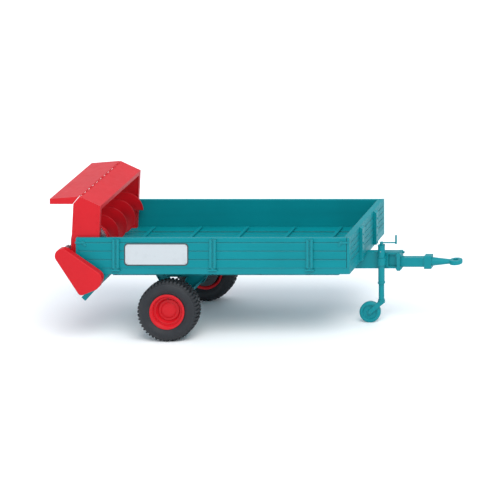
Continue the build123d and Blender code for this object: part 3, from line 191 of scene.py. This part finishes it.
def tyreRubber(name):
    recipe = Recipe(name, Specular_IOR_Level=0.4)
    soft, worn = recipe.edge(0.006)
    low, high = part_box("tyre_right")
    centre = (low + high) / 2
    fromAxle = recipe.add("ShaderNodeVectorMath", {"operation": "SUBTRACT"},
                          {0: recipe.here, 1: (centre.x, 0, centre.z)})
    parts = recipe.add("ShaderNodeSeparateXYZ", {}, {"Vector": fromAxle}, out="X")
    across = Wire(recipe, parts.socket.node.outputs["Z"])
    radius = (parts * parts + across * across) ** 0.5
    rings = recipe.add("ShaderNodeMath", {"operation": "SINE"}, {0: radius * 620})
    onWall = ((0.375 - radius) * 40).limited() * ((radius - 0.27) * 40).limited()
    speck = recipe.noise(420, 3)
    patches = recipe.noise(9, 5)
    base = recipe.between(((patches - 0.45) * 1.6).limited() * 0.55, tyreFinish["colour"] + (1,),
                          tyreFinish["dust"] + (1,))
    base = recipe.between(worn * 0.35, base, (0.1, 0.105, 0.11, 1))
    height = rings * onWall * 0.5 + speck * 0.7
    return recipe.finish(Base_Color=base, Roughness=0.5 + patches * 0.2,
                         Normal=recipe.bump(height, tyreFinish["ring"], soft))


def turnedSteel(name, colour, rough):
    recipe = Recipe(name)
    soft, worn = recipe.edge(0.0015)
    marks = recipe.noise(700, 2, (1, 0.15, 1))
    stain = recipe.noise(18, 6)
    base = recipe.between(((stain - 0.5) * 2).limited() * 0.6, colour + (1,), shade(colour, 0.55))
    base = recipe.between(worn * 0.5, base, lighter(colour, 0.4))
    return recipe.finish(Base_Color=base, Metallic=1 - ((stain - 0.6) * 3).limited() * 0.4,
                         Roughness=rough + marks * 0.18 + stain * 0.1,
                         Normal=recipe.bump(marks, 0.0001, soft))


def castIron(name, colour):
    recipe = Recipe(name)
    soft, worn = recipe.edge(0.004)
    skin = recipe.noise(160, 6)
    oil = recipe.noise(7, 5)
    base = recipe.between(((oil - 0.5) * 3).limited(), colour + (1,), shade(colour, 0.5))
    base = recipe.between(worn * 0.3, base, lighter(colour, 0.3))
    return recipe.finish(Base_Color=base, Metallic=worn * 0.5, Roughness=0.62 - oil * 0.2,
                         Normal=recipe.bump(skin, 0.0012, soft))


def plateEnamel(name):
    recipe = Recipe(name, Coat_Weight=0.4, Coat_Roughness=0.15)
    soft, worn = recipe.edge(0.002)
    stain = recipe.noise(11, 6)
    base = recipe.between(((stain - 0.52) * 2).limited() * 0.5, (0.5, 0.53, 0.55, 1), (0.34, 0.37, 0.39, 1))
    base = recipe.between(worn * 0.5, base, (0.3, 0.32, 0.33, 1))
    return recipe.finish(Base_Color=base, Roughness=0.3 + stain * 0.15,
                         Normal=recipe.bump(recipe.noise(300, 2), 0.0001, soft))


finishes = {
    "teal_paint": paintedSteel("tealPaint", enamel["teal"]),
    "red_paint": paintedSteel("redPaint", enamel["red"]),
    "teal_boards": paintedBoards("tealBoards", enamel["teal"], True),
    "tyre_rubber": tyreRubber("tyreRubber"),
    "bare_steel": turnedSteel("turnedSteel", (0.42, 0.43, 0.45), 0.28),
    "zinc_steel": turnedSteel("zincSteel", (0.55, 0.57, 0.6), 0.34),
    "oiled_steel": turnedSteel("oiledSteel", (0.11, 0.1, 0.09), 0.36),
    "cast_iron": castIron("gearboxCasting", (0.045, 0.05, 0.055)),
}
crossBoards = paintedBoards("tealCrossBoards", enamel["teal"], False)
blankEnamel = plateEnamel("plateEnamel")

slots = {part["node"]: part["material_slot"] for part in frame["record"]["subparts"]}
for name, piece in nodes.items():
    coat = crossBoards if name == "headboard" else finishes.get(slots[name], finishes["teal_paint"])
    piece.data.materials.clear()
    piece.data.materials.append(coat)
    for face in piece.data.polygons:
        face.material_index = 0
print("finishes on", len(nodes), "nodes")


# ---- small pieces ----
def addPiece(name, mesh, body, coat):
    piece = bpy.data.objects.new(name, mesh)
    bpy.context.scene.collection.objects.link(piece)
    mesh.materials.append(coat)
    for face in mesh.polygons:
        face.use_smooth = True
    mesh.set_sharp_from_angle(angle=math.radians(32))
    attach(piece, body)
    return piece


def facing(normal):                             # turns +Z to the normal
    return Vector((0, 0, 1)).rotation_difference(Vector(normal)).to_matrix().to_4x4()


def turnedHeads(name, places, normal, profile, sides, body, coat):
    # one mesh of equal heads; profile is (radius, height) from the seat to the top
    made = bmesh.new()
    for place in places:
        seat = Matrix.Translation(place) @ facing(normal)
        rings = []
        for radius, height in profile:
            ring = [made.verts.new(seat @ Vector((radius * math.cos(2 * math.pi * side / sides),
                                                  radius * math.sin(2 * math.pi * side / sides), height)))
                    for side in range(sides)]
            rings.append(ring)
        for below, above in zip(rings, rings[1:]):
            for side in range(sides):
                after = (side + 1) % sides
                made.faces.new((below[side], below[after], above[after], above[side]))
        made.faces.new(rings[-1])
        made.faces.new(list(reversed(rings[0])))
    mesh = bpy.data.meshes.new(name)
    made.to_mesh(mesh)
    made.free()
    return addPiece(name, mesh, body, coat)


def domeProfile(radius, height):
    steps = 5
    flat = [(radius, -0.001), (radius, height * 0.25)]
    return flat + [(radius * math.cos(math.pi / 2 * step / steps), height * (0.25 + 0.75 * math.sin(
        math.pi / 2 * step / steps))) for step in range(1, steps)]


def hexProfile(radius, height):
    return [(radius, -0.001), (radius, height * 0.85), (radius * 0.88, height)]


strap = {"width": 0.09, "web": 0.008, "boltRadius": 0.0075, "boltHeight": 0.005, "planks": (0.06, 0.175, 0.29, 0.375)}
for hand, side in (("right", -1), ("left", 1)):
    low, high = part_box("side_straps_" + hand)
    boardLow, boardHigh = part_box("drop_side_" + hand)
    pitch = (high.x - low.x - strap["width"]) / 2
    outer = boardLow.y if side < 0 else boardHigh.y
    spots = [(low.x + strap["width"] / 2 + pitch * number, outer + side * strap["web"], boardLow.z + up)
             for number in range(3) for up in strap["planks"]]
    turnedHeads("strap_bolts_" + hand, spots, (0, side, 0), domeProfile(strap["boltRadius"], strap["boltHeight"]),
                16, "drop_" + hand, finishes["teal_paint"])

post = {"track": 0.35, "ups": (0.03, 0.12, 0.24, 0.36), "boltRadius": 0.012, "boltHeight": 0.008}
low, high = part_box("headboard_posts")
spots = [(high.x, side * post["track"], low.z + up) for side in (-1, 1) for up in post["ups"]]
turnedHeads("headboard_bolts", spots, (1, 0, 0), hexProfile(post["boltRadius"], post["boltHeight"]), 6, "chassis",
            finishes["teal_paint"])

slat = {"track": 0.6, "boltRadius": 0.009, "boltHeight": 0.004, "boltShift": 0.022, "count": 5, "width": 0.05}
low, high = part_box("floor_slats")
pitch = (high.x - low.x - slat["width"]) / (slat["count"] - 1)
spots = [(low.x + slat["width"] / 2 + pitch * number, side * slat["track"] + shift, high.z)
         for number in range(slat["count"]) for side in (-1, 1)
         for shift in (-slat["boltShift"], slat["boltShift"])]
turnedHeads("slat_bolts", spots, (0, 0, 1), domeProfile(slat["boltRadius"], slat["boltHeight"]), 14, "feed_slats",
            finishes["teal_paint"])
print("bolt heads placed")



def seat(name, start, direction):               # where a line from start first meets a piece, and its normal
    piece = nodes[name]
    into = piece.matrix_world.inverted()
    hit, place, normal, face = piece.ray_cast(into @ Vector(start), into.to_3x3() @ Vector(direction))
    if not hit:
        return None
    return piece.matrix_world @ place, (piece.matrix_world.to_3x3() @ normal).normalized()


lineStart = 0.2                                 # how far outside a piece a seat line starts
hoodBolt = {"radius": 0.011, "height": 0.006, "pitch": 0.11, "inset": 0.028, "step": 0.01, "faceSlack": 0.012,
            "fewestSteps": 12}


def hoodBolts(hand, side):                      # a row of heads that follows the plate's outline
    low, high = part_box("hood_side_" + hand)
    outside = low.y - lineStart if side < 0 else high.y + lineStart
    face = low.y if side < 0 else high.y
    spots = []
    tall = high.z - low.z - 2 * hoodBolt["inset"]
    rows = int(tall / hoodBolt["pitch"])
    for row in range(rows + 1):
        up = low.z + hoodBolt["inset"] + row * tall / rows
        along = [low.x + step * hoodBolt["step"] for step in range(int((high.x - low.x) / hoodBolt["step"]))]
        met = [x for x in along if (hit := seat("hood_side_" + hand, (x, outside, up), (0, -side, 0)))
               and abs(hit[0].y - face) < hoodBolt["faceSlack"]]
        if len(met) > hoodBolt["fewestSteps"]:
            for x in (met[0] + hoodBolt["inset"], met[-1] - hoodBolt["inset"]):
                hit = seat("hood_side_" + hand, (x, outside, up), (0, -side, 0))
                if hit:
                    spots.append((x, hit[0].y, up))
    turnedHeads("hood_bolts_" + hand, spots, (0, side, 0), domeProfile(hoodBolt["radius"], hoodBolt["height"]), 14,
                "chassis", finishes["red_paint"])


hoodBolts("right", -1)
hoodBolts("left", 1)

valve = {"radius": 0.006, "length": 0.03, "fromAxle": 0.165}
for hand, side in (("right", -1), ("left", 1)):
    low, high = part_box("rim_" + hand)
    axle = (low + high) / 2
    outside = low.y - lineStart if side < 0 else high.y + lineStart
    hit = seat("rim_" + hand, (axle.x, outside, axle.z + valve["fromAxle"]), (0, -side, 0))
    if hit:
        stem = [(valve["radius"] * 1.3, -0.002), (valve["radius"] * 1.3, 0.006), (valve["radius"], 0.008),
                (valve["radius"], valve["length"] * 0.7), (valve["radius"] * 0.7, valve["length"] * 0.75),
                (valve["radius"] * 0.7, valve["length"])]
        turnedHeads("valve_stem_" + hand, [tuple(hit[0])], (0, side, 0), stem, 12, "wheel_" + hand,
                    finishes["tyre_rubber"])

# brake drums that turn with the wheels, and their back plates on the axle (distance out, radius)
brake = {"sides": 56,
         "drum": ((0.705, 0.174), (0.705, 0.183), (0.712, 0.183), (0.715, 0.187), (0.735, 0.187), (0.738, 0.184),
                  (0.782, 0.184), (0.792, 0.176), (0.792, 0.13), (0.784, 0.13), (0.784, 0.17), (0.778, 0.174)),
         "plate": ((0.658, 0.066), (0.658, 0.086), (0.692, 0.104), (0.692, 0.178), (0.696, 0.189), (0.702, 0.189),
                   (0.699, 0.178), (0.697, 0.101), (0.664, 0.083), (0.664, 0.066))}


def lathe(name, axle, side, profile, body, coat):
    made = bmesh.new()
    rings = []
    for out, radius in profile:
        rings.append([made.verts.new((axle.x + radius * math.cos(2 * math.pi * step / brake["sides"]), side * out,
                                      axle.z + radius * math.sin(2 * math.pi * step / brake["sides"])))
                      for step in range(brake["sides"])])
    for below, above in zip(rings, rings[1:] + rings[:1]):
        for step in range(brake["sides"]):
            after = (step + 1) % brake["sides"]
            made.faces.new((below[step], below[after], above[after], above[step]))
    bmesh.ops.recalc_face_normals(made, faces=made.faces)
    mesh = bpy.data.meshes.new(name)
    made.to_mesh(mesh)
    made.free()
    return addPiece(name, mesh, body, coat)


for hand, side in (("right", -1), ("left", 1)):
    low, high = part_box("rim_" + hand)
    axle = (low + high) / 2
    lathe("brake_drum_" + hand, axle, side, brake["drum"], "wheel_" + hand, finishes["cast_iron"])
    lathe("brake_plate_" + hand, axle, side, brake["plate"], "chassis", finishes["cast_iron"])
print("brakes in the wheels")

nipple = {"belowTop": 0.08,
          "profile": ((0.006, -0.001), (0.006, 0.004), (0.0035, 0.005), (0.0035, 0.01), (0.0048, 0.012),
                      (0.003, 0.016))}
low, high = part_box("jack_outer_tube")
middle = (low + high) / 2
hit = seat("jack_outer_tube", (middle.x, low.y - lineStart, high.z - nipple["belowTop"]), (0, 1, 0))
if hit:
    turnedHeads("jack_nipple", [tuple(hit[0])], (0, -1, 0), nipple["profile"], 10, "chassis",
                finishes["zinc_steel"])
print("small fittings placed")

# blank identification plate on the right-hand drop side
plate = {"along": 0.217, "length": 0.89, "height": 0.31, "corner": 0.05, "thickness": 0.005, "rim": 0.014,
         "recess": 0.0018, "drop": 0.02, "steps": 8, "rivetInset": 0.035, "rivetRadius": 0.008,
         "rivetHeight": 0.005}


def plateRing(inset):
    points = []
    corner = plate["corner"] - inset * 0.6
    for quarter, (sx, sz) in enumerate(((1, 1), (-1, 1), (-1, -1), (1, -1))):
        centreX = sx * (plate["length"] / 2 - inset - corner)
        centreZ = sz * (plate["height"] / 2 - inset - corner)
        for step in range(plate["steps"] + 1):
            angle = math.pi / 2 * (quarter + step / plate["steps"])
            points.append((centreX + corner * math.cos(angle), centreZ + corner * math.sin(angle)))
    return points


def blankPlate():
    strapLow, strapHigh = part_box("side_straps_right")
    boardLow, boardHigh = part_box("drop_side_right")
    middleX = strapLow.x + (strapHigh.x - strapLow.x) * plate["along"]
    middleZ = (boardLow.z + boardHigh.z) / 2 - plate["drop"]
    made = bmesh.new()
    rings = []
    for inset, depth in ((0, -0.0005), (0, plate["thickness"]), (plate["rim"], plate["thickness"]),
                         (plate["rim"] + 0.001, plate["thickness"] - plate["recess"])):
        rings.append([made.verts.new((middleX + x, boardLow.y - depth, middleZ + z)) for x, z in plateRing(inset)])
    count = len(rings[0])
    for below, above in zip(rings, rings[1:]):
        for step in range(count):
            after = (step + 1) % count
            made.faces.new((below[step], below[after], above[after], above[step]))
    made.faces.new(rings[-1])
    made.faces.new(list(reversed(rings[0])))
    bmesh.ops.recalc_face_normals(made, faces=made.faces)
    mesh = bpy.data.meshes.new("blank_plate")
    made.to_mesh(mesh)
    made.free()
    addPiece("blank_plate", mesh, "drop_right", blankEnamel)
    mesh.materials.append(finishes["cast_iron"])
    for face in mesh.polygons:
        if len(face.vertices) == 4:             # the border; the field and the back are single faces
            face.material_index = 1
    for face in mesh.polygons:
        face.use_smooth = False
    halfLong = plate["length"] / 2 - plate["rivetInset"]
    halfTall = plate["height"] / 2 - plate["rivetInset"]
    spots = [(middleX + sx * halfLong, boardLow.y - plate["thickness"] + plate["recess"], middleZ + sz * halfTall)
             for sx in (-1, 1) for sz in (-1, 1)]
    turnedHeads("plate_rivets", spots, (0, -1, 0), domeProfile(plate["rivetRadius"], plate["rivetHeight"]), 16,
                "drop_right", finishes["zinc_steel"])


blankPlate()

# ---- floor and light ----
studio = {"floorSize": 160, "floorColour": (0.94, 0.955, 0.97, 1), "sky": (0.86, 0.93, 1.0, 1), "skyStrength": 1.0,
          "sunStrength": 1.9, "sunColour": (1.0, 0.965, 0.92), "sunAngle": 40, "sunTilt": (30, 20, 0)}
floorMesh = bpy.data.meshes.new("studio_floor")
reach = studio["floorSize"]
floorMesh.from_pydata([(-reach, -reach, 0), (reach, -reach, 0), (reach, reach, 0), (-reach, reach, 0)], [],
                      [(0, 1, 2, 3)])
studioFloor = bpy.data.objects.new("studio_floor", floorMesh)
bpy.context.scene.collection.objects.link(studioFloor)
floorPaint = Recipe("studioPaper", Roughness=0.9, Specular_IOR_Level=0.1)
floorMesh.materials.append(floorPaint.finish(Base_Color=studio["floorColour"]))

world = bpy.data.worlds.new("studio")
bpy.context.scene.world = world
world.use_nodes = True
world.node_tree.nodes["Background"].inputs["Color"].default_value = studio["sky"]
world.node_tree.nodes["Background"].inputs["Strength"].default_value = studio["skyStrength"]
lamp = bpy.data.lights.new("softbox", "SUN")
lamp.energy = studio["sunStrength"]
lamp.color = studio["sunColour"]
lamp.angle = math.radians(studio["sunAngle"])
softbox = bpy.data.objects.new("softbox", lamp)
softbox.rotation_euler = [math.radians(turn) for turn in studio["sunTilt"]]
bpy.context.scene.collection.objects.link(softbox)
bpy.context.scene.view_settings.view_transform = "Standard"
print("studio ready")

# ---- camera: the picture plane stands parallel to the machine's side ----
view = {"eye": (16.31, -52.9, 18.28), "aim": (0.0375, -0.875, 1.262), "lens": 296.3}
lens = bpy.data.cameras.new("camera")
lens.sensor_width = 36
lens.lens = view["lens"]
lens.clip_end = 500
camera = bpy.data.objects.new("camera", lens)
stand = bpy.data.objects.new("camera_stand", None)
for item in (camera, stand):
    bpy.context.scene.collection.objects.link(item)
back = (Vector(view["eye"]) - Vector(view["aim"])).normalized()
shear = Matrix(((1, 0, back.x, view["eye"][0]), (0, 0, back.y, view["eye"][1]), (0, 1, back.z, view["eye"][2]),
                (0, 0, 0, 1)))
camera.parent = stand
camera.matrix_parent_inverse = shear
bpy.context.scene.camera = camera

print("pieces placed")
